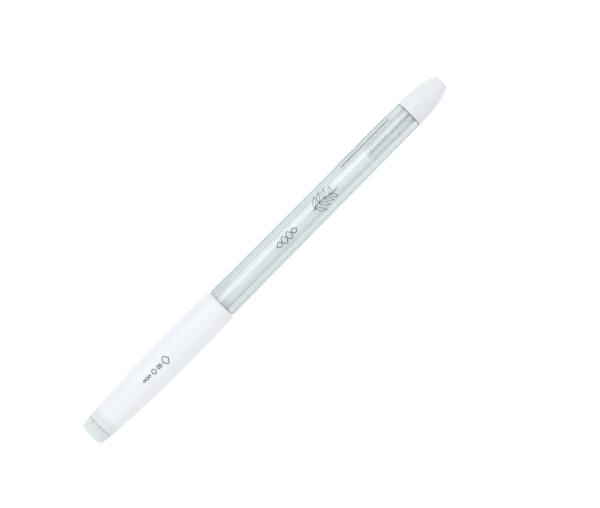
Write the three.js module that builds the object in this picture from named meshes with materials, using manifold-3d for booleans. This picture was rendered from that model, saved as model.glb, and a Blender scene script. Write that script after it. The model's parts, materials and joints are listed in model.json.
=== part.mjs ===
// A capped stick gel pen, lying on its side.
//
// Every piece is modelled along the pen's own axis: station x runs from the cap's end (0) to the end of
// the rear plug (150), and r is the radius. The finished pen is then laid on the plane z = 0, where it
// rests on the belly of its cap and on the rear of its barrel, cap towards -X, plug towards +X.
// Units are millimetres.

import * as THREE from 'three';
import { mergeVertices } from 'three/addons/utils/BufferGeometryUtils.js';
import Module from 'manifold-3d';

// ---------------------------------------------------------------- driving dimensions

const PEN_LENGTH = 150;
const SIDES = 28; // flats round every turned piece, one of them facing straight down
const SEAM = 0.3; // visible gap where two mouldings meet

const CAP_MOUTH = 55.7;
const CAP_BELLY = { x: 34, r: 5.65 };
const CAP_END_PLUG_LENGTH = 3.9;
const CAP_BORE_R = 4.62;
const CAP_SEAT_R = 4.5;
const CAP_PLUG_BORE_R = 3.45;

const SHOULDER = CAP_MOUTH + SEAM;
const BARREL_FRONT = 23.3;
const BARREL_REAR = 135.8;
const BARREL_SHOULDER_R = 4.83;
const BARREL_REAR_R = 4.585;
const BARREL_COLLAR_R = 4.3;
const BARREL_NECK_R = 3.68;
const BARREL_SPIGOT_R = 3.55;
const BARREL_BORE_R = 3.05;
const BARREL_NECK_BORE_R = 2.75;
const REAR_NECK_R = 3.85;
const REAR_NECK_END = 142;

const NOSE_FRONT = 12;
const NOSE_REAR = 27.4;
const NOSE_R = 4.35;
const NOSE_SOCKET_FRONT = 23.1;

const GRIP_FRONT = NOSE_REAR + SEAM;
const GRIP_REAR = 50.1;
const GRIP_R = 4.35;
const GRIP_GROOVE_DEPTH = 0.22;
const GRIP_GROOVES = 6;

const TUBE_R = 2.6;
const TUBE_BORE_R = 2.05;
const TUBE_FRONT = 25.05;
const TUBE_REAR = 141;
const INK_FRONT = 30.2;
const INK_REAR = 118.5;
const FOLLOWER_LENGTH = 19;
const FLOAT_R = 0.45;
const FOLLOWER_FRONT = INK_REAR + 0.1;
const FOLLOWER_REAR = FOLLOWER_FRONT + FOLLOWER_LENGTH;

const HOLDER_FRONT = 14.6;
const HOLDER_FLANGE = 20.5;
const HOLDER_NOSE_R = 1.75;
const HOLDER_BODY_R = 2.0;

const BALL_R = 0.5;
const BALL_X = 9.62;
const NIB_SHANK_R = 1.15;
const NIB_REAR = 20;

const SPRING_WIRE = 0.16;
const SPRING_COIL_R = 0.52;
const SPRING_TURNS = 7;

const FIT = 0.05; // radial clearance between mouldings that sit one in the other
const VENT_WIDTH = 1.2;
const VENT_COUNT = 4;

// ---------------------------------------------------------------- outlines and solids

const wasm = await Module();
wasm.setup();

// Points of a cubic curve between two [x, r] stations, with its two control stations.
function curve(start, control1, control2, end, steps) {
  const points = [start, control1, control2, end].map(([x, r]) => new THREE.Vector2(x, r));
  return new THREE.CubicBezierCurve(...points).getPoints(steps).map((p) => [p.x, p.y]);
}

// Points of a round edge about the centre [x, r]; angles in degrees, 0 towards +x, 90 towards larger r.
function roundEdge([x, r], radius, from, to, steps = 3) {
  return Array.from({ length: steps + 1 }, (_, i) => {
    const angle = THREE.MathUtils.degToRad(from + ((to - from) * i) / steps);
    return [x + radius * Math.cos(angle), r + radius * Math.sin(angle)];
  });
}

// A turned piece: the outline runs towards +x along the outside and back along the bore or the axis.
function turned(outline, hasBore = true) {
  const loop = hasBore ? [...outline, outline[0]] : outline;
  const profile = loop.map(([x, r]) => new THREE.Vector2(r, x));
  const geometry = new THREE.LatheGeometry(profile, SIDES, Math.PI / SIDES);
  geometry.rotateZ(-Math.PI / 2);
  return geometry;
}

function toSolid(geometry) {
  const bare = geometry.clone();
  bare.deleteAttribute('normal');
  bare.deleteAttribute('uv');
  const merged = mergeVertices(bare, 1e-4);
  return new wasm.Manifold(
    new wasm.Mesh({
      numProp: 3,
      vertProperties: new Float32Array(merged.attributes.position.array),
      triVerts: new Uint32Array(merged.index.array),
    }),
  );
}

function toGeometry(solid) {
  const mesh = solid.getMesh();
  const geometry = new THREE.BufferGeometry();
  geometry.setAttribute('position', new THREE.BufferAttribute(mesh.vertProperties, 3));
  geometry.setIndex(new THREE.BufferAttribute(mesh.triVerts, 1));
  geometry.computeVertexNormals();
  return geometry;
}

// Cuts VENT_COUNT channels along the pen's axis into the rim of a turned piece.
function cutVents(geometry, fromX, toX, bottomR, topR) {
  let solid = toSolid(geometry);
  for (let i = 0; i < VENT_COUNT; i += 1) {
    const channel = new THREE.BoxGeometry(toX - fromX, VENT_WIDTH, topR - bottomR);
    channel.translate((fromX + toX) / 2, 0, (bottomR + topR) / 2);
    channel.rotateX(Math.PI / VENT_COUNT + (i * 2 * Math.PI) / VENT_COUNT);
    solid = solid.subtract(toSolid(channel));
  }
  return toGeometry(solid);
}

function piece(name, geometry, color, roughness, metalness = 0) {
  const material = new THREE.MeshStandardMaterial({ color, roughness, metalness });
  const mesh = new THREE.Mesh(geometry, material);
  mesh.name = name;
  return mesh;
}

// ---------------------------------------------------------------- cap

const CAP_END_EDGE_R = 1.1;
const CAP_END_R = 4.12;
const PLUG_HEAD_REAR_R = 4.42;
const SHELL_FRONT = CAP_END_PLUG_LENGTH + SEAM;
const PLUG_SPIGOT_REAR = 8.2;
const PAD_POCKET_R = 1.75;
const PAD_POCKET_FRONT = 6.8;
const LINER_FLANGE_FRONT = 8.4;
const LINER_FLANGE_REAR = 9.8;
const LINER_FLANGE_R = 3.7;
const LINER_REAR = 16.5;
const VENT_DEPTH = 0.6;

// The outer shell: a long barrel-shaped moulding with a rounded mouth and a retaining bead inside.
function capShell() {
  const frontR = 4.43;
  const mouthR = 5.38;
  const lip = 0.75;
  const seatFront = 49.5;
  const boreFront = 22;
  const bead = { x: 53.6, half: 0.5, height: 0.04 };
  const belly = [CAP_BELLY.x, CAP_BELLY.r];
  const outline = [
    ...curve([SHELL_FRONT, frontR], [10.5, 5.1], [20, 5.6], belly, 6),
    ...curve(belly, [42, 5.65], [49.5, 5.69], [54.3, mouthR + 0.04], 4).slice(1),
    ...roundEdge([CAP_MOUTH - lip, mouthR - lip], lip, 45, 0, 2),
    [CAP_MOUTH - 0.25, CAP_SEAT_R],
    [bead.x + bead.half, CAP_SEAT_R],
    [bead.x, CAP_SEAT_R - bead.height],
    [bead.x - bead.half, CAP_SEAT_R],
    [seatFront, CAP_SEAT_R],
    [seatFront - 1.5, CAP_BORE_R],
    [boreFront, CAP_BORE_R],
    [LINER_FLANGE_REAR + 0.4, 4.1],
    [LINER_FLANGE_REAR + 0.1, LINER_FLANGE_R + FIT],
    [PLUG_SPIGOT_REAR + 0.1, LINER_FLANGE_R + FIT],
    [PLUG_SPIGOT_REAR + 0.1, CAP_PLUG_BORE_R],
    [SHELL_FRONT, CAP_PLUG_BORE_R],
  ];
  return piece('cap_shell', turned(outline), '#eef1f3', 0.32);
}

// The plug that closes the cap's end, with a pocket for the seal pad and air channels along its spigot.
function capEndPlug() {
  const spigotR = CAP_PLUG_BORE_R - FIT;
  const outline = [
    [0, 0],
    ...roundEdge([CAP_END_EDGE_R, CAP_END_R - CAP_END_EDGE_R], CAP_END_EDGE_R, 180, 90),
    [CAP_END_PLUG_LENGTH, PLUG_HEAD_REAR_R],
    [CAP_END_PLUG_LENGTH, spigotR],
    [PLUG_SPIGOT_REAR, spigotR],
    [PLUG_SPIGOT_REAR, PAD_POCKET_R],
    [PAD_POCKET_FRONT, PAD_POCKET_R],
    [PAD_POCKET_FRONT, 0],
  ];
  const body = turned(outline, false);
  const vented = cutVents(body, CAP_END_PLUG_LENGTH, LINER_REAR, spigotR - VENT_DEPTH, CAP_BELLY.r);
  return piece('cap_end_plug', vented, '#e3ebec', 0.36);
}

// The inner cap: it closes round the front of the nose cone so that the nib stays moist.
function capLiner() {
  const cupR = 2.9;
  const cupBoreR = 2.2;
  const flareFront = 12;
  const holeR = PAD_POCKET_R + 0.15;
  const outline = [
    [LINER_FLANGE_FRONT, LINER_FLANGE_R],
    [LINER_FLANGE_REAR, LINER_FLANGE_R],
    [LINER_FLANGE_REAR, cupR],
    [flareFront, cupR],
    [LINER_REAR, 3.85],
    [LINER_REAR, 3.4],
    [flareFront, cupBoreR],
    [LINER_FLANGE_REAR, cupBoreR],
    [LINER_FLANGE_REAR, holeR],
    [LINER_FLANGE_FRONT, holeR],
  ];
  const body = turned(outline);
  const vented = cutVents(body, 0, LINER_FLANGE_REAR, LINER_FLANGE_R - VENT_DEPTH, CAP_BELLY.r);
  return piece('cap_liner', vented, '#f1f3f2', 0.45);
}

// The soft pad that the ball is pressed against when the cap is closed.
function nibSealPad() {
  const r = PAD_POCKET_R - FIT;
  const front = PAD_POCKET_FRONT + 0.1;
  const rear = 8.95;
  const edge = 0.2;
  const outline = [
    [front, 0],
    [front, r],
    [rear - edge, r],
    [rear, r - edge],
    [rear, 0],
  ];
  return piece('nib_seal_pad', turned(outline, false), '#d9dbd8', 0.8);
}

// ---------------------------------------------------------------- barrel, nose and grip

// The clear barrel: a thick tube with a shoulder behind the cap, a collar, a neck under the grip, a spigot
// inside the nose cone, and a short neck at the rear that the plug fits over.
function barrel() {
  const ring = { x: 52.2, half: 0.5, height: 0.1 };
  const edge = 0.15;
  const neckRear = GRIP_REAR + 0.2;
  const spigotRear = NOSE_REAR + 0.1;
  const boreFront = 52;
  const outline = [
    [BARREL_FRONT, BARREL_SPIGOT_R],
    [spigotRear, BARREL_SPIGOT_R],
    [spigotRear, BARREL_NECK_R],
    [neckRear, BARREL_NECK_R],
    [neckRear, BARREL_COLLAR_R],
    [ring.x - ring.half, BARREL_COLLAR_R],
    [ring.x, BARREL_COLLAR_R + ring.height],
    [ring.x + ring.half, BARREL_COLLAR_R],
    [SHOULDER, BARREL_COLLAR_R],
    [SHOULDER, BARREL_SHOULDER_R - edge],
    [SHOULDER + edge, BARREL_SHOULDER_R],
    [BARREL_REAR - edge, BARREL_REAR_R],
    [BARREL_REAR, BARREL_REAR_R - edge],
    [BARREL_REAR, REAR_NECK_R],
    [REAR_NECK_END, REAR_NECK_R],
    [REAR_NECK_END, BARREL_BORE_R],
    [boreFront, BARREL_BORE_R],
    [boreFront - 3, BARREL_NECK_BORE_R],
    [BARREL_FRONT, BARREL_NECK_BORE_R],
  ];
  return piece('barrel', turned(outline), '#dfe6ea', 0.08);
}

// The nose cone: it snaps over the barrel's front and holds the refill against the plug.
function noseCone() {
  const frontR = 1.8;
  const tipHoleR = 1.25;
  const edge = 0.2;
  const socketStep = HOLDER_FLANGE - 0.2;
  const holderStep = HOLDER_FRONT - 0.3;
  const outline = [
    ...curve([NOSE_FRONT, frontR], [15.5, 3.1], [19, NOSE_R], [NOSE_REAR - edge, NOSE_R], 6),
    [NOSE_REAR, NOSE_R - edge],
    [NOSE_REAR, BARREL_SPIGOT_R + FIT],
    [NOSE_SOCKET_FRONT, BARREL_SPIGOT_R + FIT],
    [NOSE_SOCKET_FRONT, TUBE_R + FIT],
    [socketStep, TUBE_R + FIT],
    [socketStep, HOLDER_BODY_R + FIT],
    [holderStep, HOLDER_NOSE_R + FIT],
    [holderStep, tipHoleR],
    [NOSE_FRONT, tipHoleR],
  ];
  return piece('nose_cone', turned(outline), '#eceff0', 0.3);
}

// The soft grip sleeve over the barrel's neck, with evenly spaced grooves.
function gripSleeve() {
  const edge = 0.25;
  const grooveHalf = 0.6;
  const pitch = (GRIP_REAR - GRIP_FRONT) / (GRIP_GROOVES + 1);
  const grooves = Array.from({ length: GRIP_GROOVES }, (_, i) => {
    const x = GRIP_FRONT + pitch * (i + 1);
    return [
      [x - grooveHalf, GRIP_R],
      [x, GRIP_R - GRIP_GROOVE_DEPTH],
      [x + grooveHalf, GRIP_R],
    ];
  }).flat();
  const outline = [
    [GRIP_FRONT, GRIP_R - edge],
    [GRIP_FRONT + edge, GRIP_R],
    ...grooves,
    [GRIP_REAR - edge, GRIP_R],
    [GRIP_REAR, GRIP_R - edge],
    [GRIP_REAR, BARREL_NECK_R + FIT],
    [GRIP_FRONT, BARREL_NECK_R + FIT],
  ];
  return piece('grip_sleeve', turned(outline), '#dde1e4', 0.75);
}

// The rear plug: a pointed cup over the barrel's rear neck, with a flat end and a small air hole.
function rearPlug() {
  const front = BARREL_REAR + SEAM;
  const frontR = 4.57;
  const socketR = REAR_NECK_R + FIT;
  const socketEnd = REAR_NECK_END + SEAM;
  const endR = 2.3;
  const airHoleR = 0.5;
  const edge = 0.15;
  const outline = [
    [front, frontR - edge],
    ...curve([front + edge, frontR], [144.2, 4.6], [146.2, 3.95], [PEN_LENGTH - edge, endR + edge], 7),
    [PEN_LENGTH, endR],
    [PEN_LENGTH, airHoleR],
    [PEN_LENGTH - 2.5, airHoleR],
    [PEN_LENGTH - 5, 2.4],
    [socketEnd, TUBE_R + FIT],
    [socketEnd, socketR],
    [front, socketR],
  ];
  return piece('rear_plug', turned(outline), '#eef0f2', 0.34);
}

// ---------------------------------------------------------------- refill

function refillTube() {
  const outline = [
    [TUBE_FRONT, TUBE_R],
    [TUBE_REAR, TUBE_R],
    [TUBE_REAR, TUBE_BORE_R],
    [TUBE_FRONT, TUBE_BORE_R],
  ];
  return piece('refill_tube', turned(outline), '#e6ebee', 0.4);
}

// The plastic holder between the metal nib and the refill tube.
function nibHolder() {
  const flangeRear = TUBE_FRONT - 0.1;
  const spigotRear = INK_FRONT - 0.2;
  const inkChannelR = 0.8;
  const outline = [
    [HOLDER_FRONT, HOLDER_NOSE_R - 0.2],
    [HOLDER_FRONT + 0.2, HOLDER_NOSE_R],
    [HOLDER_FLANGE, HOLDER_BODY_R],
    [HOLDER_FLANGE, TUBE_R - FIT],
    [flangeRear, TUBE_R - FIT],
    [flangeRear, TUBE_BORE_R - FIT],
    [spigotRear, TUBE_BORE_R - FIT],
    [spigotRear, inkChannelR],
    [NIB_REAR + 0.1, inkChannelR],
    [NIB_REAR + 0.1, NIB_SHANK_R + FIT],
    [HOLDER_FRONT, NIB_SHANK_R + FIT],
  ];
  return piece('nib_holder', turned(outline), '#f0f1ef', 0.4);
}

// The metal nib: a turned cone with the ball's socket in front and the spring's chamber behind.
function nib() {
  const rimX = 9.45;
  const rimR = 0.57;
  const lip = 0.05;
  const coneRear = 12.4;
  const chamberR = 0.75;
  const socketR = BALL_R + FIT;
  const channelR = 0.26;
  const outline = [
    [rimX, rimR],
    [rimX + 0.08, rimR + lip],
    [coneRear, NIB_SHANK_R],
    [NIB_REAR, NIB_SHANK_R],
    [NIB_REAR, chamberR],
    [coneRear - 0.2, chamberR],
    [coneRear - 0.5, channelR],
    [BALL_X + 0.63, channelR],
    [BALL_X + 0.3, socketR],
    [BALL_X, socketR],
    [rimX, rimR - lip],
  ];
  return piece('nib', turned(outline), '#c9c3b2', 0.25, 1);
}

function writingBall() {
  const geometry = new THREE.SphereGeometry(BALL_R, 20, 10);
  geometry.translate(BALL_X, 0, 0);
  return piece('writing_ball', geometry, '#b9bcc0', 0.12, 1);
}

// The fine spring behind the ball: a straight pin that opens into a coil.
class SpringPath extends THREE.Curve {
  getPoint(t) {
    const pinFront = BALL_X + BALL_R + 0.06;
    const rear = NIB_REAR - 0.3;
    const pinShare = 0.24; // share of the length that stays straight
    const growShare = 0.12; // share of the coil over which it opens out
    const x = pinFront + (rear - pinFront) * t;
    const s = Math.max(0, (t - pinShare) / (1 - pinShare));
    const angle = s * SPRING_TURNS * 2 * Math.PI;
    const r = SPRING_COIL_R * THREE.MathUtils.smoothstep(s, 0, growShare);
    return new THREE.Vector3(x, r * Math.cos(angle), r * Math.sin(angle));
  }
}

function ballSpring() {
  const wire = new THREE.Shape();
  wire.absarc(0, 0, SPRING_WIRE / 2, 0, 2 * Math.PI);
  const geometry = new THREE.ExtrudeGeometry(wire, {
    curveSegments: 5,
    steps: SPRING_TURNS * 12,
    extrudePath: new SpringPath(),
  });
  return piece('ball_spring', geometry, '#aeb2b5', 0.3, 1);
}

function inkColumn() {
  const r = TUBE_BORE_R - FIT;
  const outline = [
    [INK_FRONT, 0],
    [INK_FRONT, r],
    [INK_REAR, r],
    [INK_REAR, 0],
  ];
  return piece('ink_column', turned(outline, false), '#f4f6f7', 0.5);
}

// The clear grease plug that follows the ink forward and keeps air off it, dished at the rear.
function inkFollower() {
  const r = TUBE_BORE_R - FIT;
  const boreR = FLOAT_R + FIT;
  const boreFront = FOLLOWER_FRONT + 0.7;
  const dish = 0.5;
  const outline = [
    [FOLLOWER_FRONT, 0],
    [FOLLOWER_FRONT, r],
    [FOLLOWER_REAR, r],
    [FOLLOWER_REAR - dish, boreR],
    [boreFront, boreR],
    [boreFront, 0],
  ];
  return piece('ink_follower', turned(outline, false), '#d5dcdf', 0.2);
}

// The thin rod that floats in the follower grease and keeps it together.
function followerFloat() {
  const edge = 0.12;
  const front = FOLLOWER_FRONT + 0.8;
  const rear = FOLLOWER_REAR - 0.9;
  const outline = [
    [front, 0],
    [front, FLOAT_R - edge],
    [front + edge, FLOAT_R],
    [rear - edge, FLOAT_R],
    [rear, FLOAT_R - edge],
    [rear, 0],
  ];
  return piece('follower_float', turned(outline, false), '#c3ccd2', 0.25);
}

// ---------------------------------------------------------------- the pen, laid on its side

const pen = new THREE.Group();
pen.add(capShell(), capEndPlug(), capLiner(), nibSealPad());
pen.add(barrel(), noseCone(), gripSleeve(), rearPlug());
pen.add(refillTube(), nibHolder(), nib(), writingBall(), ballSpring());
pen.add(inkColumn(), inkFollower(), followerFloat());

const restTilt = Math.atan2(CAP_BELLY.r - BARREL_REAR_R, BARREL_REAR - CAP_BELLY.x);
pen.rotation.y = restTilt;

const model = new THREE.Group();
model.add(pen);
model.updateMatrixWorld(true);
const box = new THREE.Box3().setFromObject(pen, true);
pen.position.set(-(box.min.x + box.max.x) / 2, -(box.min.y + box.max.y) / 2, -box.min.z);

export default model;
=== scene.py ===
import json
import math

import bmesh
import bpy
from mathutils import Matrix, Vector


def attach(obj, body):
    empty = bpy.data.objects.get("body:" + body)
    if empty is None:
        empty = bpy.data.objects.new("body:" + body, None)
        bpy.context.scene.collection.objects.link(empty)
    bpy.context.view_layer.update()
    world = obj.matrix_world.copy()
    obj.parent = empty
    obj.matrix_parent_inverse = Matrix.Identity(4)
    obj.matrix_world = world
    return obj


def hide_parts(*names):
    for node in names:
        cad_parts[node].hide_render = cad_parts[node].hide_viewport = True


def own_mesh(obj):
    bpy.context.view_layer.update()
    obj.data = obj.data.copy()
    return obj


# A capped stick gel pen: white cap, clear barrel with a white ink refill, white rear plug.
# Outlines are in millimetres along the pen's own axis: a station counts from the cap's end, and a radius
# from the axis. to_row() takes them to the row frame, in metres.

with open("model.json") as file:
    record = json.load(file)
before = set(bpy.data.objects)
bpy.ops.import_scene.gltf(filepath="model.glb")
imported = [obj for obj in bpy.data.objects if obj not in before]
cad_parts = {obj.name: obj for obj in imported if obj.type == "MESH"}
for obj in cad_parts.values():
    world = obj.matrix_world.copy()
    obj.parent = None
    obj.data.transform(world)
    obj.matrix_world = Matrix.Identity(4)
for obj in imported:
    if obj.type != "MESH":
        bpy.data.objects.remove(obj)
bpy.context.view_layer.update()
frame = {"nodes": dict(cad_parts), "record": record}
MOUNTS = {m["name"]: m for m in frame["record"]["mounts"]}

MM = 0.001
AXIS = Vector(MOUNTS["plug_end_face"]["axis"]).normalized()
ACROSS = Vector((0.0, 1.0, 0.0))
TOP = AXIS.cross(ACROSS)
CAP_END = Vector(MOUNTS["cap_end_face"]["pos_m"])
TO_ROW = Matrix.Translation(CAP_END) @ Matrix((AXIS, ACROSS, TOP)).transposed().to_4x4() @ Matrix.Scale(MM, 4)
FROM_ROW = TO_ROW.inverted()

AROUND = 144  # segments round a turned piece
ON_AXIS = 1e-6  # a smaller radius is a point on the axis


def to_row(station, across=0.0, top=0.0):
    return TO_ROW @ Vector((station, across, top))


def span(node):
    """(front station, rear station, largest radius, smallest radius) of a CAD node, in millimetres."""
    points = [FROM_ROW @ v.co for v in frame["nodes"][node].data.vertices]
    radii = [math.hypot(p.y, p.z) for p in points]
    return min(p.x for p in points), max(p.x for p in points), max(radii), min(radii)


# ---------------------------------------------------------------- driving dimensions, from the frame

SHELL_FRONT, CAP_MOUTH, CAP_BELLY_R, CAP_PLUG_BORE_R = span("cap_shell")
_, END_PLUG_REAR, _, _ = span("cap_end_plug")
LINER_FRONT, LINER_REAR, LINER_R, LINER_HOLE_R = span("cap_liner")
PAD_FRONT, PAD_REAR, PAD_R, _ = span("nib_seal_pad")
BARREL_FRONT, REAR_NECK_END, BARREL_R, BARREL_NECK_BORE_R = span("barrel")
NOSE_FRONT, NOSE_REAR, NOSE_R, NOSE_HOLE_R = span("nose_cone")
GRIP_FRONT, GRIP_REAR, GRIP_R, GRIP_BORE_R = span("grip_sleeve")
PLUG_FRONT, PEN_END, _, AIR_HOLE_R = span("rear_plug")
TUBE_FRONT, TUBE_REAR, TUBE_R, TUBE_BORE_R = span("refill_tube")
HOLDER_FRONT, HOLDER_REAR, HOLDER_R, HOLDER_CHANNEL_R = span("nib_holder")
NIB_FRONT, NIB_REAR, NIB_R, NIB_CHANNEL_R = span("nib")
BALL_FRONT, BALL_REAR, BALL_R, _ = span("writing_ball")
SPRING_FRONT, SPRING_REAR, _, _ = span("ball_spring")
INK_FRONT, INK_REAR, INK_R, _ = span("ink_column")
FOLLOWER_FRONT, FOLLOWER_REAR, _, _ = span("ink_follower")
FLOAT_FRONT, FLOAT_REAR, FLOAT_R, _ = span("follower_float")

# ... and those that no node's largest or smallest measure gives

SEAM = 0.3  # the gap that the CAD leaves between neighbouring pieces
HAIRLINE = 0.02  # what still shows of a seam between two mouldings pressed together
KEEN = 0.05  # an outline point this close to a corner keeps the corner nearly sharp
CRISP = 0.15  # and one this close keeps its rounding small
FIT = 0.05  # radial clearance between mouldings that sit one in the other
SHOULDER = CAP_MOUTH + SEAM
BELLY_STATION = 34.0
BARREL_REAR = PLUG_FRONT - SEAM
BARREL_REAR_R = 4.585
BARREL_BORE_R = 3.05
BARREL_NECK_R = 3.68
BARREL_SPIGOT_R = 3.55
BARREL_COLLAR_R = 4.3
REAR_NECK_R = 3.85
WET_R = TUBE_BORE_R + 0.02  # ink and grease wet the tube's wall, so no air shows between them


# ---------------------------------------------------------------- camera, light and floor

PEN_ANGLE = math.radians(45.3)  # the pen rises to the upper right at this angle
VIEW_WIDTH = 180.9 * MM  # what the picture takes in, in the pen's plane
VIEW_OFFSET = (10.1 * MM, 1.3 * MM)  # from the pen's middle to the picture's middle: right, up
LENS = 135.0
SENSOR = 36.0
LIGHT_DISTANCE = 1.5
ZENITH_FROM = 0.6  # sine of the height above which the studio is at its brightest
FLOOR_HALF_SIZE = 1.5
FLOOR_DROP = 0.00002  # keeps the floor just clear of the pen's underside


def add_camera():
    data = bpy.data.cameras.new("camera")
    data.lens = LENS
    data.sensor_width = SENSOR
    camera = bpy.data.objects.new("camera", data)
    bpy.context.collection.objects.link(camera)
    right = Vector((math.cos(PEN_ANGLE), -math.sin(PEN_ANGLE), 0.0))
    up = Vector((math.sin(PEN_ANGLE), math.cos(PEN_ANGLE), 0.0))
    middle = to_row(PEN_END / 2)
    aim = middle + right * VIEW_OFFSET[0] + up * VIEW_OFFSET[1]
    distance = VIEW_WIDTH * LENS / SENSOR
    camera.location = aim + Vector((0.0, 0.0, distance))
    camera.rotation_euler = (0.0, 0.0, -PEN_ANGLE)
    data.clip_start = 0.01
    data.clip_end = 20.0
    bpy.context.scene.camera = camera


def add_softbox(name, tilt, size, watts):
    """A rectangular light above the pen, tilted from straight above towards +Y. size: along, across."""
    data = bpy.data.lights.new(name, "AREA")
    data.shape = "RECTANGLE"
    data.size, data.size_y = size
    data.energy = watts
    light = bpy.data.objects.new(name, data)
    light.location = Vector((0.0, math.sin(tilt), math.cos(tilt))) * LIGHT_DISTANCE
    light.rotation_euler = (-light.location).to_track_quat("-Z", "Y").to_euler()
    bpy.context.collection.objects.link(light)


def add_world(horizon, zenith, strength):
    """Soft light from all round, a little darker towards the horizon."""
    world = bpy.data.worlds.new("studio")
    world.use_nodes = True
    nodes, links = world.node_tree.nodes, world.node_tree.links
    background = nodes["Background"]
    background.inputs["Strength"].default_value = strength
    height = nodes.new("ShaderNodeSeparateXYZ")
    ramp = nodes.new("ShaderNodeValToRGB")
    ramp.color_ramp.elements[0].color = (*horizon, 1.0)
    ramp.color_ramp.elements[1].color = (*zenith, 1.0)
    ramp.color_ramp.elements[1].position = ZENITH_FROM
    links.new(nodes.new("ShaderNodeTexCoord").outputs["Generated"], height.inputs["Vector"])
    links.new(height.outputs["Z"], ramp.inputs["Fac"])
    links.new(ramp.outputs["Color"], background.inputs["Color"])
    bpy.context.scene.world = world


def add_floor(material):
    mesh = bpy.data.meshes.new("floor")
    bm = bmesh.new()
    bmesh.ops.create_grid(bm, x_segments=8, y_segments=8, size=FLOOR_HALF_SIZE)
    bm.to_mesh(mesh)
    bm.free()
    floor = bpy.data.objects.new("floor", mesh)
    floor.location = (0.0, 0.0, -FLOOR_DROP)
    floor.data.materials.append(material)
    bpy.context.collection.objects.link(floor)


# ---------------------------------------------------------------- materials

class Shader:
    """A Principled material under construction, in object coordinates."""

    def __init__(self, name, **sockets):
        self.material = bpy.data.materials.new(name)
        self.material.use_nodes = True
        self.nodes = self.material.node_tree.nodes
        self.links = self.material.node_tree.links
        self.surface = self.nodes["Principled BSDF"]
        for socket, value in sockets.items():
            self.surface.inputs[socket.replace("_", " ")].default_value = value
        self.place = self.nodes.new("ShaderNodeTexCoord").outputs["Object"]
        self.bump_normal = None

    def stretched(self, along, around):
        """Object coordinates scaled along the pen and across it."""
        mapping = self.nodes.new("ShaderNodeMapping")
        mapping.inputs["Scale"].default_value = (along, around, around)
        self.links.new(self.place, mapping.inputs["Vector"])
        return mapping.outputs["Vector"]

    def noise(self, scale, detail=3.0, roughness=0.55, place=None, distortion=0.0):
        node = self.nodes.new("ShaderNodeTexNoise")
        node.inputs["Scale"].default_value = scale
        node.inputs["Detail"].default_value = detail
        node.inputs["Roughness"].default_value = roughness
        node.inputs["Distortion"].default_value = distortion
        self.links.new(place or self.place, node.inputs["Vector"])
        return node.outputs["Fac"]

    def voronoi(self, scale, feature="F1"):
        node = self.nodes.new("ShaderNodeTexVoronoi")
        node.feature = feature
        node.inputs["Scale"].default_value = scale
        self.links.new(self.place, node.inputs["Vector"])
        return node.outputs["Distance"]

    def spread(self, value, low, high, start=0.3, end=0.7):
        node = self.nodes.new("ShaderNodeMapRange")
        node.inputs["From Min"].default_value = start
        node.inputs["From Max"].default_value = end
        node.inputs["To Min"].default_value = low
        node.inputs["To Max"].default_value = high
        self.links.new(value, node.inputs["Value"])
        return node.outputs["Result"]

    def color(self, value, dark, light, start=0.3, end=0.7):
        ramp = self.nodes.new("ShaderNodeValToRGB")
        ramp.color_ramp.elements[0].position = start
        ramp.color_ramp.elements[0].color = (*dark, 1.0)
        ramp.color_ramp.elements[1].position = end
        ramp.color_ramp.elements[1].color = (*light, 1.0)
        self.links.new(value, ramp.inputs["Fac"])
        self.links.new(ramp.outputs["Color"], self.surface.inputs["Base Color"])
        return self

    def shade_ahead_of(self, x, fade, tint):
        """Paints shade: multiplies the base colour by a darkening tint ahead of x, that is towards -X, fading
        out just before x.
        """
        under = self.surface.inputs["Base Color"].links[0].from_socket
        split = self.nodes.new("ShaderNodeSeparateXYZ")
        self.links.new(self.place, split.inputs["Vector"])
        share = self.spread(split.outputs["X"], 1.0, 0.0, x - fade, x)
        mix = self.nodes.new("ShaderNodeMix")
        mix.data_type = "RGBA"
        mix.blend_type = "MULTIPLY"
        self.links.new(share, mix.inputs["Factor"])
        self.links.new(under, mix.inputs["A"])
        mix.inputs["B"].default_value = (*tint, 1.0)
        self.links.new(mix.outputs["Result"], self.surface.inputs["Base Color"])
        return self

    def roughness(self, value, low, high):
        self.links.new(self.spread(value, low, high), self.surface.inputs["Roughness"])
        return self

    def absorb(self, color, density):
        """Tints what is seen through the material by the length of the way through it."""
        node = self.nodes.new("ShaderNodeVolumeAbsorption")
        node.inputs["Color"].default_value = (*color, 1.0)
        node.inputs["Density"].default_value = density
        self.links.new(node.outputs["Volume"], self.nodes["Material Output"].inputs["Volume"])
        return self

    def bump(self, height, depth, strength=1.0):
        """Adds relief of the given depth in metres on top of any relief already there."""
        node = self.nodes.new("ShaderNodeBump")
        node.inputs["Strength"].default_value = strength
        node.inputs["Distance"].default_value = depth
        self.links.new(height, node.inputs["Height"])
        if self.bump_normal:
            self.links.new(self.bump_normal, node.inputs["Normal"])
        self.bump_normal = node.outputs["Normal"]
        self.links.new(self.bump_normal, self.surface.inputs["Normal"])
        return self


SOFT_GLOW = {"Subsurface_Radius": (1.0, 1.0, 1.0), "IOR": 1.49}
THIN_WHITE = {**SOFT_GLOW, "Subsurface_Weight": 0.35, "Subsurface_Scale": 0.0012}
CAP_WHITE = ((0.715, 0.73, 0.75), (0.755, 0.77, 0.79), (0.27, 0.37))
# painted shade: the cap's front wall is darkened and tinted green over the end plug's spigot
SPIGOT_SHADE_TINT = (0.87, 0.915, 0.91)
SPIGOT_SHADE_FADE = 0.0016


def moulded(name, dark, light, rough, **sockets):
    """Injection-moulded plastic: faint colour clouding, fine spark-eroded grain and soft flow marks."""
    shader = Shader(name, **sockets)
    flow = shader.noise(90.0, place=shader.stretched(0.35, 1.0))
    shader.color(flow, dark, light)
    shader.roughness(shader.noise(1400.0), *rough)
    shader.bump(flow, 3e-5, 0.25)
    shader.bump(shader.noise(6500.0, detail=2.0), 2e-6, 0.6)
    return shader


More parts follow.
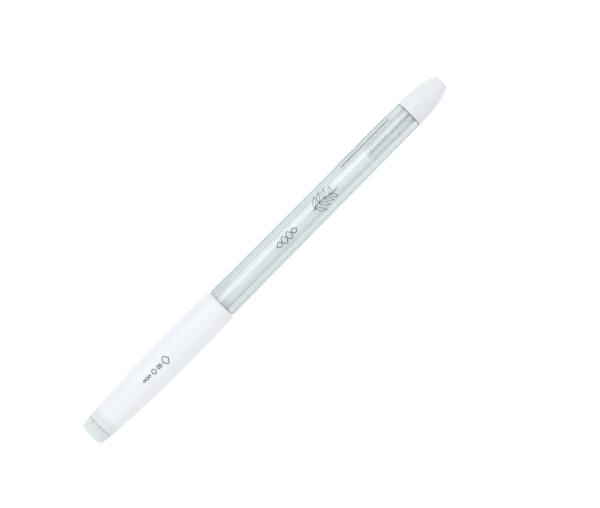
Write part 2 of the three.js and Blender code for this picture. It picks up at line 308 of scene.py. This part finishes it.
def cap_plastic():
    return moulded("cap_plastic", *CAP_WHITE, **THIN_WHITE).material


def cap_shell_plastic():
    """The cap's plastic, with painted shade on its front wall: darker and greener over the end plug's spigot,
    for the spigot and its shade seen through the thin wall.
    """
    shader = moulded("cap_shell_plastic", *CAP_WHITE, **THIN_WHITE)
    # painted shade over the spigot, put into the base colour
    shader.shade_ahead_of(to_row(END_PLUG_REAR).x, SPIGOT_SHADE_FADE, SPIGOT_SHADE_TINT)
    return shader.material


def end_plug_plastic():
    return moulded(
        "end_plug_plastic", (0.59, 0.635, 0.64), (0.63, 0.675, 0.68), (0.25, 0.36),
        Subsurface_Weight=0.8, Subsurface_Scale=0.003, **SOFT_GLOW,
    ).material


def plug_plastic():
    return moulded(
        "plug_plastic", (0.66, 0.68, 0.705), (0.70, 0.72, 0.74), (0.3, 0.4), **THIN_WHITE,
    ).material


def natural_plastic():
    return moulded(
        "natural_plastic", (0.74, 0.75, 0.735), (0.80, 0.81, 0.80), (0.4, 0.52),
        Subsurface_Weight=0.3, Subsurface_Scale=0.001, Subsurface_Radius=(1.0, 1.0, 1.0), IOR=1.5,
    ).material


def clear_plastic():
    """Polished clear polystyrene, with faint drawn lines along the barrel and hairline handling marks."""
    shader = Shader("clear_plastic", Transmission_Weight=1.0, IOR=1.55, Specular_IOR_Level=0.5)
    drawn = shader.noise(700.0, place=shader.stretched(0.04, 1.0))
    shader.color(drawn, (0.985, 0.992, 0.995), (0.992, 0.997, 0.999))
    shader.roughness(shader.noise(420.0), 0.0, 0.02)
    shader.bump(drawn, 1e-6, 0.05)
    shader.absorb((0.46, 0.58, 0.61), 200.0)
    return shader.material


def tube_plastic():
    """Extruded polypropylene: milky, with die lines along it."""
    shader = Shader("tube_plastic", Transmission_Weight=0.82, IOR=1.38)
    die_lines = shader.noise(1600.0, place=shader.stretched(0.02, 1.0))
    shader.color(die_lines, (0.965, 0.978, 0.984), (0.985, 0.992, 0.996))
    shader.roughness(shader.noise(500.0), 0.1, 0.18)
    shader.bump(die_lines, 2e-6, 0.1)
    return shader.material


def grip_rubber():
    """Soft matt elastomer with a fine skin texture and a trace of dust in it."""
    shader = Shader(
        "grip_rubber", IOR=1.45, Subsurface_Weight=0.25, Subsurface_Scale=0.0008, Sheen_Weight=0.12,
    )
    cells = shader.voronoi(5200.0)
    clouds = shader.noise(240.0)
    shader.color(clouds, (0.66, 0.685, 0.705), (0.73, 0.75, 0.77))
    shader.roughness(shader.noise(900.0), 0.62, 0.8)
    shader.bump(cells, 8e-6, 0.5)
    return shader.material


def seal_rubber():
    shader = Shader("seal_rubber", IOR=1.42)
    shader.color(shader.noise(600.0), (0.55, 0.56, 0.55), (0.64, 0.65, 0.64))
    shader.roughness(shader.noise(1500.0), 0.7, 0.88)
    shader.bump(shader.voronoi(9000.0), 5e-6, 0.5)
    return shader.material


def turned_metal(name, dark, light, rough, ring_scale=9000.0):
    """Lathe-turned metal: fine rings round the axis, and a little tarnish."""
    shader = Shader(name, Metallic=1.0)
    rings = shader.noise(1.0, detail=2.0, place=shader.stretched(ring_scale, 60.0))
    tarnish = shader.noise(800.0)
    shader.color(tarnish, dark, light)
    shader.roughness(shader.noise(2500.0), *rough)
    shader.bump(rings, 2e-6, 0.6)
    return shader.material


def wire_metal():
    shader = Shader("spring_wire", Metallic=1.0)
    shader.color(shader.noise(3000.0), (0.42, 0.43, 0.44), (0.6, 0.61, 0.62))
    shader.roughness(shader.noise(6000.0), 0.2, 0.36)
    shader.bump(shader.noise(12000.0), 1e-6, 0.5)
    return shader.material


def ink_liquid():
    """Opaque white pigment ink, very slightly settled into clouds."""
    shader = Shader("white_ink", IOR=1.36, Specular_IOR_Level=0.1)
    clouds = shader.noise(160.0, detail=5.0, place=shader.stretched(0.5, 1.0), distortion=0.4)
    shader.color(clouds, (0.905, 0.905, 0.91), (0.935, 0.935, 0.94))
    shader.roughness(shader.noise(700.0), 0.3, 0.45)
    shader.bump(clouds, 2e-5, 0.2)
    return shader.material


def follower_grease():
    shader = Shader("follower_grease", Transmission_Weight=0.85, IOR=1.42)
    clouds = shader.noise(900.0, detail=4.0)
    shader.color(clouds, (0.95, 0.965, 0.975), (0.98, 0.988, 0.992))
    shader.roughness(shader.noise(1200.0), 0.05, 0.15)
    shader.bump(clouds, 5e-6, 0.1)
    return shader.material


def float_plastic():
    shader = Shader("float_plastic", IOR=1.49, Transmission_Weight=0.3)
    shader.color(shader.noise(1100.0), (0.45, 0.5, 0.53), (0.55, 0.6, 0.63))
    shader.roughness(shader.noise(1800.0), 0.25, 0.4)
    shader.bump(shader.noise(1500.0, place=shader.stretched(0.03, 1.0)), 3e-6, 0.3)
    return shader.material


def mark_ink():
    """Pad-printed grey ink: dense, with tiny pinholes in its gloss. It also colours the dashes of painted
    shade along the barrel's edge.
    """
    shader = Shader("mark_ink", IOR=1.5)
    shader.color(shader.noise(2600.0), (0.06, 0.066, 0.07), (0.11, 0.118, 0.122))
    shader.roughness(shader.noise(5200.0), 0.35, 0.6)
    shader.bump(shader.noise(9000.0), 2e-6, 0.6)
    return shader.material


def floor_paper():
    """A pale light table: it glows a little, so the pen throws almost no shadow on it."""
    shader = Shader(
        "floor_paper", IOR=1.3, Specular_IOR_Level=0.1,
        Emission_Color=(1.0, 1.0, 1.0, 1.0), Emission_Strength=0.78,
    )
    shader.color(shader.noise(9.0), (0.29, 0.29, 0.29), (0.3, 0.3, 0.3))
    shader.roughness(shader.noise(60.0), 0.85, 0.95)
    return shader.material


# ---------------------------------------------------------------- turned shapes

def curve(start, control1, control2, end, steps=24):
    """Points of a cubic curve between two (station, radius) pairs."""
    points = []
    for i in range(steps + 1):
        t = i / steps
        u = 1 - t
        weights = (u**3, 3 * u * u * t, 3 * u * t * t, t**3)
        points.append(tuple(
            sum(w * p[k] for w, p in zip(weights, (start, control1, control2, end))) for k in (0, 1)
        ))
    return points


CORNER_ANGLE = math.radians(20)  # a sharper turn of an outline is a corner, and is rounded off
TRIM_SHARE = 0.42  # the most of a wall's length that one rounding takes
HOLD = 1.15  # a point this much further out keeps the wall beside a rounding shaded dead straight
ROUNDING_STEPS = 3


def softened(outline, radius, closed):
    """The outline with its corners rounded off."""
    rounded = []
    count = len(outline)
    for i, corner in enumerate(outline):
        here = Vector(corner)
        if not closed and i in (0, count - 1):
            rounded.append(corner)
            continue
        before = Vector(outline[i - 1]) - here
        after = Vector(outline[(i + 1) % count]) - here
        if math.pi - before.angle(after) < CORNER_ANGLE:
            rounded.append(corner)
            continue
        trim = min(radius, TRIM_SHARE * before.length, TRIM_SHARE * after.length)
        start = here + before.normalized() * trim
        end = here + after.normalized() * trim
        rounded.append(tuple(here + before.normalized() * trim * HOLD))
        for k in range(ROUNDING_STEPS + 1):
            t = k / ROUNDING_STEPS
            rounded.append(tuple(start * (1 - t) ** 2 + here * 2 * t * (1 - t) + end * t * t))
        rounded.append(tuple(here + after.normalized() * trim * HOLD))
    return rounded


def finish_mesh(name, bm, material, smooth_angle=32.0):
    """Puts a mesh made in pen millimetres into the row frame, as a smooth-shaded object."""
    bmesh.ops.recalc_face_normals(bm, faces=bm.faces)
    mesh = bpy.data.meshes.new(name)
    bm.to_mesh(mesh)
    bm.free()
    mesh.transform(TO_ROW)
    mesh.materials.append(material)
    mesh.shade_smooth()
    mesh.set_sharp_from_angle(angle=math.radians(smooth_angle))
    piece = bpy.data.objects.new(name, mesh)
    bpy.context.collection.objects.link(piece)
    return piece


def turned(name, outline, material, bored=True, edge=0.08, relief=None, around=AROUND):
    """A turned piece. relief(station, radius, angle) may return a radius that varies round the piece."""
    points = softened(outline, edge, bored)
    bm = bmesh.new()
    rings = []
    for station, radius in points:
        if radius < ON_AXIS:
            rings.append([bm.verts.new((station, 0.0, 0.0))])
            continue
        ring = []
        for k in range(around):
            angle = 2 * math.pi * k / around
            r = relief(station, radius, angle) if relief else radius
            ring.append(bm.verts.new((station, r * math.sin(angle), r * math.cos(angle))))
        rings.append(ring)
    pairs = list(zip(rings, rings[1:]))
    if bored:
        pairs.append((rings[-1], rings[0]))
    for low, high in pairs:
        for k in range(around):
            n = (k + 1) % around
            corners = [low[k % len(low)], low[n % len(low)], high[n % len(high)], high[k % len(high)]]
            bm.faces.new(list(dict.fromkeys(corners)))
    return finish_mesh(name, bm, material)


def stands_for(piece, node, body):
    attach(piece, body)
    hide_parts(node)
    return piece


# ---------------------------------------------------------------- cap

CAP_BORE_R = 4.62
CAP_SEAT_R = 4.5
SHELL_FRONT_R = 4.43
SEAM_R = 4.42  # where the end plug's head and the shell meet
VENT_HALF_ANGLE = math.radians(10)
VENT_DEPTH = 0.6


def belly_outline(front, front_r):
    rise = curve((front, front_r), (10.5, 5.1), (20.0, 5.6), (BELLY_STATION, CAP_BELLY_R), 32)
    fall = curve((BELLY_STATION, CAP_BELLY_R), (42.0, 5.65), (49.5, 5.69), (54.3, 5.42), 20)
    return rise + fall[1:]


def cap_radius(station):
    """Outer radius of the cap at a station, for what is printed on it."""
    outline = belly_outline(SHELL_FRONT, SHELL_FRONT_R)
    for (x0, r0), (x1, r1) in zip(outline, outline[1:]):
        if x0 <= station <= x1:
            return r0 + (r1 - r0) * (station - x0) / (x1 - x0)
    return CAP_BELLY_R


def add_cap_shell(material):
    """The shell: a rounded mouth, a bead that holds on the barrel's ring, and low ribs along the bore."""
    ribs, rib_height, rib_front, rib_rear = 8, 0.1, 20.0, 48.5
    bore_tolerance = 0.02  # only points this close to the bore's radius carry the ribs
    bead_front, bead_rear, bead_r = 53.2, 54.0, 4.46
    seat_front, bore_front = 49.5, 22.0
    liner_seat_front, liner_seat_rear, liner_seat_r = 8.3, 9.9, 3.75

    def inner_ribs(station, radius, angle):
        inside = rib_front < station < rib_rear and abs(radius - CAP_BORE_R) < bore_tolerance
        crest = max(0.0, math.cos(ribs * angle)) ** 6
        return radius - rib_height * crest if inside else radius

    outline = [(SHELL_FRONT, SEAM_R)] + belly_outline(SHELL_FRONT + KEEN, SHELL_FRONT_R)
    outline += curve((54.5, 5.4), (55.1, 5.32), (55.55, 5.1), (CAP_MOUTH, 4.78), 8)
    outline += [
        (CAP_MOUTH, CAP_SEAT_R + 0.12),
        (CAP_MOUTH - 0.3, CAP_SEAT_R),
        (54.2, CAP_SEAT_R),
        *curve((bead_rear, CAP_SEAT_R), (53.8, bead_r), (53.4, bead_r), (bead_front, CAP_SEAT_R), 6),
        (seat_front, CAP_SEAT_R),
        *[(x, CAP_BORE_R) for x in (48.4, 48.0, 40.0, 30.0, 23.0, bore_front)],
        (10.2, 4.1),
        (liner_seat_rear, liner_seat_r),
        (liner_seat_front, liner_seat_r),
        (liner_seat_front, CAP_PLUG_BORE_R),
        (SHELL_FRONT, CAP_PLUG_BORE_R),
    ]
    return turned("cap_body", outline, material, relief=inner_ribs, edge=0.1)


def add_cap_end_plug(material):
    """The end plug: a gate mark in a shallow dish on its end, and four air channels in its spigot."""
    head_rear = SHELL_FRONT - HAIRLINE
    spigot_r = CAP_PLUG_BORE_R - FIT
    cut_from_r = 2.9  # a channel cuts only what lies outside this radius
    quarter = math.pi / 2
    gate_r, dish_r, dish_depth = 0.35, 1.1, 0.2
    pocket_front, pocket_r = 6.8, 1.75

    def channels(station, radius, angle):
        near = abs(angle % quarter - quarter / 2)
        in_channel = station > head_rear - 0.01 and radius > cut_from_r and near < VENT_HALF_ANGLE
        return radius - VENT_DEPTH if in_channel else radius

    outline = [
        (dish_depth / 2, 0.0),
        (dish_depth / 2, gate_r),
        (dish_depth, gate_r + 0.1),
        (dish_depth, dish_r),
        (0.0, 1.35),
        *curve((0.0, 3.02), (0.0, 3.62), (0.45, 4.1), (1.1, 4.14), 12),
        (2.4, 4.25),
        (head_rear - KEEN, SEAM_R),
        (head_rear, SEAM_R),
        (head_rear, spigot_r),
        (END_PLUG_REAR, spigot_r),
        (END_PLUG_REAR, pocket_r),
        (pocket_front, pocket_r),
        (pocket_front, 0.0),
    ]
    return turned("cap_end", outline, material, bored=False, edge=0.1, relief=channels)


def add_cap_liner(material):
    """The inner cap: a flange in the shell's seat, and a cup that flares towards the nose cone."""
    flange_rear, flange_r = 9.8, 3.7
    cup_r, cup_bore_r = 2.9, 2.2
    flare_front, flare_bore_r = 12.0, 3.4
    outline = [
        (LINER_FRONT, flange_r),
        (flange_rear, flange_r),
        (flange_rear, cup_r),
        (flare_front, cup_r),
        (LINER_REAR, LINER_R),
        (LINER_REAR, flare_bore_r),
        (flare_front, cup_bore_r),
        (flange_rear, cup_bore_r),
        (flange_rear, LINER_HOLE_R),
        (LINER_FRONT, LINER_HOLE_R),
    ]
    return turned("inner_cap", outline, material, edge=0.06)


def add_seal_pad(material):
    """The pad, with a dimple where the ball meets it."""
    dimple_r, dimple_depth, rim = 0.9, 0.15, 0.2
    outline = [
        (PAD_FRONT, 0.0),
        (PAD_FRONT, PAD_R),
        (PAD_REAR - 0.15, PAD_R),
        (PAD_REAR, PAD_R - rim),
        (PAD_REAR, dimple_r),
        (PAD_REAR - dimple_depth * 0.8, 0.5),
        (PAD_REAR - dimple_depth, 0.0),
    ]
    return turned("nib_pad", outline, material, bored=False, edge=0.08)


# ---------------------------------------------------------------- barrel, nose, grip and plug

def add_barrel(material):
    """The clear barrel: spigot, grip's neck, collar with the ring that holds the cap, wall and rear neck."""
    rear = BARREL_REAR + SEAM - HAIRLINE
    spigot_rear, neck_rear, bore_front, bore_taper_front = 27.5, 50.3, 52.0, 49.0
    ring_front, ring_rear, ring_r = 51.7, 52.7, 4.4
    outline = [
        (BARREL_FRONT, BARREL_SPIGOT_R),
        (spigot_rear, BARREL_SPIGOT_R),
        (spigot_rear, BARREL_NECK_R),
        (neck_rear, BARREL_NECK_R),
        (neck_rear, BARREL_COLLAR_R),
        (ring_front - 0.1, BARREL_COLLAR_R),
        *curve(
            (ring_front, BARREL_COLLAR_R), (51.95, ring_r), (52.45, ring_r), (ring_rear, BARREL_COLLAR_R), 6,
        ),
        (ring_rear + 0.1, BARREL_COLLAR_R),
        (SHOULDER, BARREL_COLLAR_R),
        (SHOULDER, BARREL_R),
        (SHOULDER + CRISP, BARREL_R),
        (rear - CRISP, BARREL_REAR_R),
        (rear, BARREL_REAR_R),
        (rear, REAR_NECK_R),
        (REAR_NECK_END, REAR_NECK_R),
        (REAR_NECK_END, BARREL_BORE_R),
        (bore_front + KEEN, BARREL_BORE_R),
        (bore_front, BARREL_BORE_R),
        (bore_taper_front, BARREL_NECK_BORE_R),
        (BARREL_FRONT, BARREL_NECK_BORE_R),
    ]
    return turned("clear_barrel", outline, material, edge=0.14)


def barrel_radius(station):
    """Outer radius of the barrel at a station, for what is printed on it."""
    share = (station - SHOULDER) / (BARREL_REAR - SHOULDER)
    return BARREL_R + (BARREL_REAR_R - BARREL_R) * share


def add_nose_cone(material):
    """The nose cone, with a fine groove ahead of its rear edge."""
    socket_front, holder_step, tip_step = 23.1, 20.3, 14.3
    groove_front, groove_rear, groove_depth = 26.6, 27.05, 0.12
    outline = [
        (NOSE_FRONT, 1.55),
        *curve((NOSE_FRONT + 0.1, 1.82), (15.5, 3.1), (19.0, NOSE_R), (groove_front, NOSE_R), 24),
        (groove_front + 0.1, NOSE_R - groove_depth),
        (groove_rear - 0.1, NOSE_R - groove_depth),
        (groove_rear, NOSE_R),
        (NOSE_REAR, NOSE_R - 0.1),
        (NOSE_REAR, BARREL_SPIGOT_R + FIT),
        (socket_front, BARREL_SPIGOT_R + FIT),
        (socket_front, TUBE_R + FIT),
        (holder_step, TUBE_R + FIT),
        (holder_step, 2.05),
        (tip_step, 1.8),
        (tip_step, NOSE_HOLE_R),
        (NOSE_FRONT, NOSE_HOLE_R),
    ]
    return turned("nose", outline, material, edge=0.12)


def add_grip(material):
    """The grip sleeve, its grooves rounded."""
    grooves, groove_half, groove_depth, groove_steps = 6, 0.6, 0.22, 8
    chamfer = 0.25
    pitch = (GRIP_REAR - GRIP_FRONT) / (grooves + 1)
    outline = [(GRIP_FRONT, GRIP_R - chamfer), (GRIP_FRONT + chamfer, GRIP_R)]
    for i in range(grooves):
        x = GRIP_FRONT + pitch * (i + 1)
        for k in range(groove_steps + 1):
            t = 2 * k / groove_steps - 1
            dip = groove_depth * math.cos(t * math.pi / 2) ** 2
            outline.append((x + t * groove_half, GRIP_R - dip))
    outline += [(GRIP_REAR - chamfer, GRIP_R), (GRIP_REAR, GRIP_R - chamfer)]
    outline += [(GRIP_REAR, GRIP_BORE_R), (GRIP_FRONT, GRIP_BORE_R)]
    return turned("grip", outline, material, edge=0.2)


def add_rear_plug(material):
    """The rear plug: a pointed cup over the barrel's rear neck, with an air hole in its flat end."""
    neck_seat = REAR_NECK_END + SEAM
    outline = [
        (PLUG_FRONT, 4.42),
        *curve((PLUG_FRONT + 0.2, 4.57), (144.2, 4.6), (146.2, 3.95), (PEN_END - 0.15, 2.45), 28),
        (PEN_END, 2.3),
        (PEN_END, AIR_HOLE_R),
        (147.5, AIR_HOLE_R),
        (145.0, 2.4),
        (neck_seat, TUBE_R + FIT),
        (neck_seat, REAR_NECK_R + FIT),
        (PLUG_FRONT, REAR_NECK_R + FIT),
    ]
    return turned("end_plug", outline, material, edge=0.12)


# ---------------------------------------------------------------- refill

def add_refill_tube(material):
    outline = [
        (TUBE_FRONT, TUBE_R),
        (TUBE_REAR, TUBE_R),
        (TUBE_REAR, TUBE_BORE_R),
        (TUBE_FRONT, TUBE_BORE_R),
    ]
    return turned("refill", outline, material, edge=0.06)


def add_nib_holder(material):
    """The adapter: a nose that grips the nib, a flange in the nose cone, and a spigot in the tube."""
    flange_front, flange_rear, shank_bore_r = 20.5, 24.95, 1.2
    outline = [
        (HOLDER_FRONT, 1.55),
        (HOLDER_FRONT + 0.2, 1.75),
        (flange_front, 2.0),
        (flange_front, HOLDER_R),
        (flange_rear, HOLDER_R),
        (flange_rear, INK_R),
        (HOLDER_REAR, INK_R - 0.05),
        (HOLDER_REAR, HOLDER_CHANNEL_R),
        (20.1, HOLDER_CHANNEL_R),
        (20.1, shank_bore_r),
        (HOLDER_FRONT, shank_bore_r),
    ]
    return turned("nib_adapter", outline, material, edge=0.08)


def add_nib(material):
    """The metal nib: rolled rim, fine cone, a turned groove at the start of the shank."""
    groove_front, groove_rear, groove_depth = 13.4, 13.8, 0.06
    socket_r, chamber_r = 0.55, 0.75
    outline = [
        (NIB_FRONT, 0.57),
        (NIB_FRONT + 0.08, 0.62),
        (10.6, 0.82),
        (10.7, 0.8),
        (12.2, 1.09),
        (12.4, NIB_R),
        (groove_front, NIB_R),
        (groove_front + 0.1, NIB_R - groove_depth),
        (groove_rear - 0.1, NIB_R - groove_depth),
        (groove_rear, NIB_R),
        (NIB_REAR, NIB_R),
        (NIB_REAR, chamber_r),
        (12.2, chamber_r),
        (11.9, NIB_CHANNEL_R),
        (10.25, NIB_CHANNEL_R),
        (9.92, socket_r),
        (9.62, socket_r),
        (NIB_FRONT, 0.52),
    ]
    return turned("metal_nib", outline, material, edge=0.03)


def add_ball(material):
    bm = bmesh.new()
    bmesh.ops.create_icosphere(bm, subdivisions=4, radius=BALL_R)
    bmesh.ops.translate(bm, vec=((BALL_FRONT + BALL_REAR) / 2, 0.0, 0.0), verts=bm.verts)
    return finish_mesh("ball_point", bm, material, smooth_angle=60.0)


def add_spring(material):
    """The straight pin behind the ball, opening into a coil: a wire swept along the path."""
    turns, wire_r, coil_r = 7, 0.08, 0.52
    pin_share, opening_share = 0.24, 0.12  # of the whole length, and of the coil's
    steps, sides = 420, 10
    front, rear = SPRING_FRONT, SPRING_REAR

    def path(t):
        s = max(0.0, (t - pin_share) / (1 - pin_share))
        grow = min(1.0, s / opening_share)
        r = coil_r * grow * grow * (3 - 2 * grow)
        angle = 2 * math.pi * turns * s
        return Vector((front + (rear - front) * t, r * math.cos(angle), r * math.sin(angle)))

    bm = bmesh.new()
    rings = []
    normal = Vector((0.0, 0.0, 1.0))
    for i in range(steps + 1):
        here = path(i / steps)
        along = (path(min(1.0, (i + 1) / steps)) - path(max(0.0, (i - 1) / steps))).normalized()
        normal = (normal - along * normal.dot(along)).normalized()
        side = along.cross(normal)
        ring = []
        for k in range(sides):
            angle = 2 * math.pi * k / sides
            ring.append(bm.verts.new(here + (normal * math.cos(angle) + side * math.sin(angle)) * wire_r))
        rings.append(ring)
    for low, high in zip(rings, rings[1:]):
        for k in range(sides):
            n = (k + 1) % sides
            bm.faces.new((low[k], low[n], high[n], high[k]))
    bm.faces.new(rings[0])
    bm.faces.new(rings[-1])
    return finish_mesh("nib_spring", bm, material, smooth_angle=60.0)


def add_ink(material):
    """The ink column, with a shallow meniscus at its rear."""
    parts = 12  # the column is squashed along the pen, so its wall is cut into parts
    wall = INK_REAR - 0.5 - INK_FRONT
    stations = [INK_FRONT + wall * i / parts for i in range(parts + 1)]
    outline = [(INK_FRONT, 0.0), *[(x, WET_R) for x in stations]]
    outline += [(INK_REAR, WET_R - 0.02), (INK_REAR - 0.1, WET_R * 0.7), (INK_REAR - 0.15, 0.0)]
    return turned("ink", outline, material, bored=False, edge=0.15)


def add_follower(material):
    """The grease, with a hollow for the float."""
    bore = FLOAT_R + FIT
    bore_front = FOLLOWER_FRONT + 0.7
    outline = [
        (FOLLOWER_FRONT, 0.0),
        (FOLLOWER_FRONT, WET_R * 0.7),
        (FOLLOWER_FRONT + 0.02, WET_R - 0.02),
        (FOLLOWER_REAR - 0.1, WET_R),
        (FOLLOWER_REAR - 0.5, WET_R * 0.6),
        (FOLLOWER_REAR - 0.6, bore),
        (bore_front, bore),
        (bore_front, 0.0),
    ]
    return turned("grease_follower", outline, material, bored=False, edge=0.15)


def add_float(material):
    outline = [
        (FLOAT_FRONT, 0.0),
        (FLOAT_FRONT, FLOAT_R),
        (FLOAT_REAR, FLOAT_R),
        (FLOAT_REAR, 0.0),
    ]
    return turned("follower_rod", outline, material, bored=False, edge=0.15, around=AROUND // 2)


# ---------------------------------------------------------------- printed ornaments, and dashes of painted shade

MARK_LIFT = 0.012
MARK_THICKNESS = 0.03


def stroke(bm, points, width, radius_at):
    """One drawn line, for print and for the painted-shade dashes: a thin ribbon wrapped on the surface.
    Points are (station, distance round).
    """
    rows = []
    for i, (x, s) in enumerate(points):
        x0, s0 = points[max(0, i - 1)]
        x1, s1 = points[min(len(points) - 1, i + 1)]
        length = math.hypot(x1 - x0, s1 - s0) or 1.0
        nx, ns = -(s1 - s0) / length, (x1 - x0) / length
        row = []
        for side, lift in ((-1, 0), (1, 0), (1, 1), (-1, 1)):
            station = x + side * nx * width / 2
            around = s + side * ns * width / 2
            surface = radius_at(station)
            r = surface + MARK_LIFT + lift * MARK_THICKNESS
            angle = around / surface
            row.append(bm.verts.new((station, r * math.sin(angle), r * math.cos(angle))))
        rows.append(row)
    for a, b in zip(rows, rows[1:]):
        for k in range(4):
            n = (k + 1) % 4
            bm.faces.new((a[k], a[n], b[n], b[k]))
    bm.faces.new(rows[0])
    bm.faces.new(rows[-1])


def wave(x0, x1, height, turns, offset=0.0, phase=0.0, steps=48):
    points = []
    for i in range(steps + 1):
        t = i / steps
        swell = math.sin(math.pi * t) ** 0.5 if 0 < t < 1 else 0.0
        y = offset + height * swell * math.sin(2 * math.pi * turns * t + phase)
        points.append((x0 + (x1 - x0) * t, y))
    return points


def leaf(x, s, length, width, angle, steps=14):
    """The closed outline of one leaf, as two strokes from its root to its tip."""
    sides = []
    for sign in (-1, 1):
        side = []
        for i in range(steps + 1):
            t = i / steps
            u, v = length * t, sign * width * math.sin(math.pi * t) * (1 - 0.3 * t)
            side.append((x + u * math.cos(angle) - v * math.sin(angle),
                         s + u * math.sin(angle) + v * math.cos(angle)))
        sides.append(side)
    return sides


def add_cap_mark(material):
    """A plait of rising height along the cap's belly: pairs of crossed waves."""
    bm = bmesh.new()
    for x0, x1, height, turns in ((22.8, 25.9, 0.42, 1.5), (26.5, 28.1, 0.85, 0.5), (28.7, 30.4, 0.7, 1.0),
                                  (31.0, 33.4, 1.3, 0.5)):
        for phase in (0.0, math.pi):
            stroke(bm, wave(x0, x1, height, turns, phase=phase, steps=32), 0.24, cap_radius)
    return finish_mesh("cap_print", bm, material, smooth_angle=60.0)


def add_front_mark(material):
    """A short plait of two waves on the barrel."""
    bm = bmesh.new()
    for phase in (0.0, math.pi):
        stroke(bm, wave(79.5, 87.9, 1.3, 2.0, phase=phase, steps=72), 0.26, barrel_radius)
    return finish_mesh("barrel_print_front", bm, material, smooth_angle=60.0)


def add_rear_mark(material):
    """A leafy sprig on the barrel."""
    bm = bmesh.new()
    stem = wave(94.9, 104.8, 0.55, 0.75, steps=48)
    stroke(bm, stem, 0.24, barrel_radius)
    leaf_width, leaf_angle = 0.55, math.radians(50)
    for i in (4, 14, 24, 34):
        x, s = stem[i]
        length = 4.1 - 0.045 * i
        for sign in (-1, 1):
            for side in leaf(x, s, length, leaf_width, sign * leaf_angle):
                stroke(bm, side, 0.17, barrel_radius)
    return finish_mesh("barrel_print_rear", bm, material, smooth_angle=60.0)


def add_edge_shade_dashes(material):
    """Two rows of fine dark upright dashes along the barrel's upper-left side, seen almost edge-on: painted
    shade, standing in for the dark line along that edge.
    """
    round_angle = math.radians(81)
    dash, pitch, steps = 0.32, 0.62, 6
    bm = bmesh.new()
    for x0, x1, height in ((56.6, 63.0, 0.5), (110.5, 131.0, 1.3)):
        for i in range(round((x1 - x0) / pitch)):
            x = x0 + pitch * i
            middle = round_angle * barrel_radius(x)
            upright = [(x, middle + height * (k / steps - 0.5)) for k in range(steps + 1)]
            stroke(bm, upright, dash, barrel_radius)
    return finish_mesh("barrel_edge_shade", bm, material, smooth_angle=60.0)


# ---------------------------------------------------------------- the scene

add_camera()
add_world(horizon=(0.70, 0.72, 0.74), zenith=(0.985, 0.99, 1.0), strength=1.04)
add_softbox("key", tilt=math.radians(37), size=(0.9, 1.25), watts=5.35)
add_softbox("fill", tilt=math.radians(-40), size=(0.9, 0.8), watts=1.6)
add_floor(floor_paper())
bpy.context.scene.view_settings.view_transform = "Standard"
bpy.context.scene.cycles.use_denoising = True
bpy.context.scene.cycles.max_bounces = 32
bpy.context.scene.cycles.transmission_bounces = 32
bpy.context.scene.cycles.glossy_bounces = 24
bpy.context.scene.cycles.diffuse_bounces = 16

cap_white = cap_plastic()
natural = natural_plastic()
print_and_shade_ink = mark_ink()

stands_for(add_cap_shell(cap_shell_plastic()), "cap_shell", "cap")
stands_for(add_cap_end_plug(end_plug_plastic()), "cap_end_plug", "cap")
stands_for(add_cap_liner(natural), "cap_liner", "cap")
stands_for(add_seal_pad(seal_rubber()), "nib_seal_pad", "cap")
clear_barrel = stands_for(add_barrel(clear_plastic()), "barrel", "pen")
stands_for(add_nose_cone(cap_white), "nose_cone", "pen")
stands_for(add_grip(grip_rubber()), "grip_sleeve", "pen")
stands_for(add_rear_plug(plug_plastic()), "rear_plug", "pen")
refill = stands_for(add_refill_tube(tube_plastic()), "refill_tube", "pen")
stands_for(add_nib_holder(natural), "nib_holder", "pen")
nib_metal = turned_metal("nickel_silver", (0.50, 0.47, 0.40), (0.68, 0.65, 0.58), (0.18, 0.32))
stands_for(add_nib(nib_metal), "nib", "pen")
ball_metal = turned_metal("ball_carbide", (0.42, 0.43, 0.45), (0.55, 0.56, 0.58), (0.05, 0.14), 3000.0)
stands_for(add_ball(ball_metal), "writing_ball", "ball")
stands_for(add_spring(wire_metal()), "ball_spring", "pen")
ink = stands_for(add_ink(ink_liquid()), "ink_column", "pen")
stands_for(add_follower(follower_grease()), "ink_follower", "follower")
stands_for(add_float(float_plastic()), "follower_float", "follower")

for see_through in (clear_barrel, refill):
    see_through.visible_shadow = False  # so that lamp light reaches the ink

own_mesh(ink)

for mark, body in (
    (add_cap_mark(print_and_shade_ink), "cap"),
    (add_front_mark(print_and_shade_ink), "pen"),
    (add_rear_mark(print_and_shade_ink), "pen"),
    # the side dashes are painted shade along the barrel's upper-left edge
    (add_edge_shade_dashes(print_and_shade_ink), "pen"),
):
    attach(mark, body)
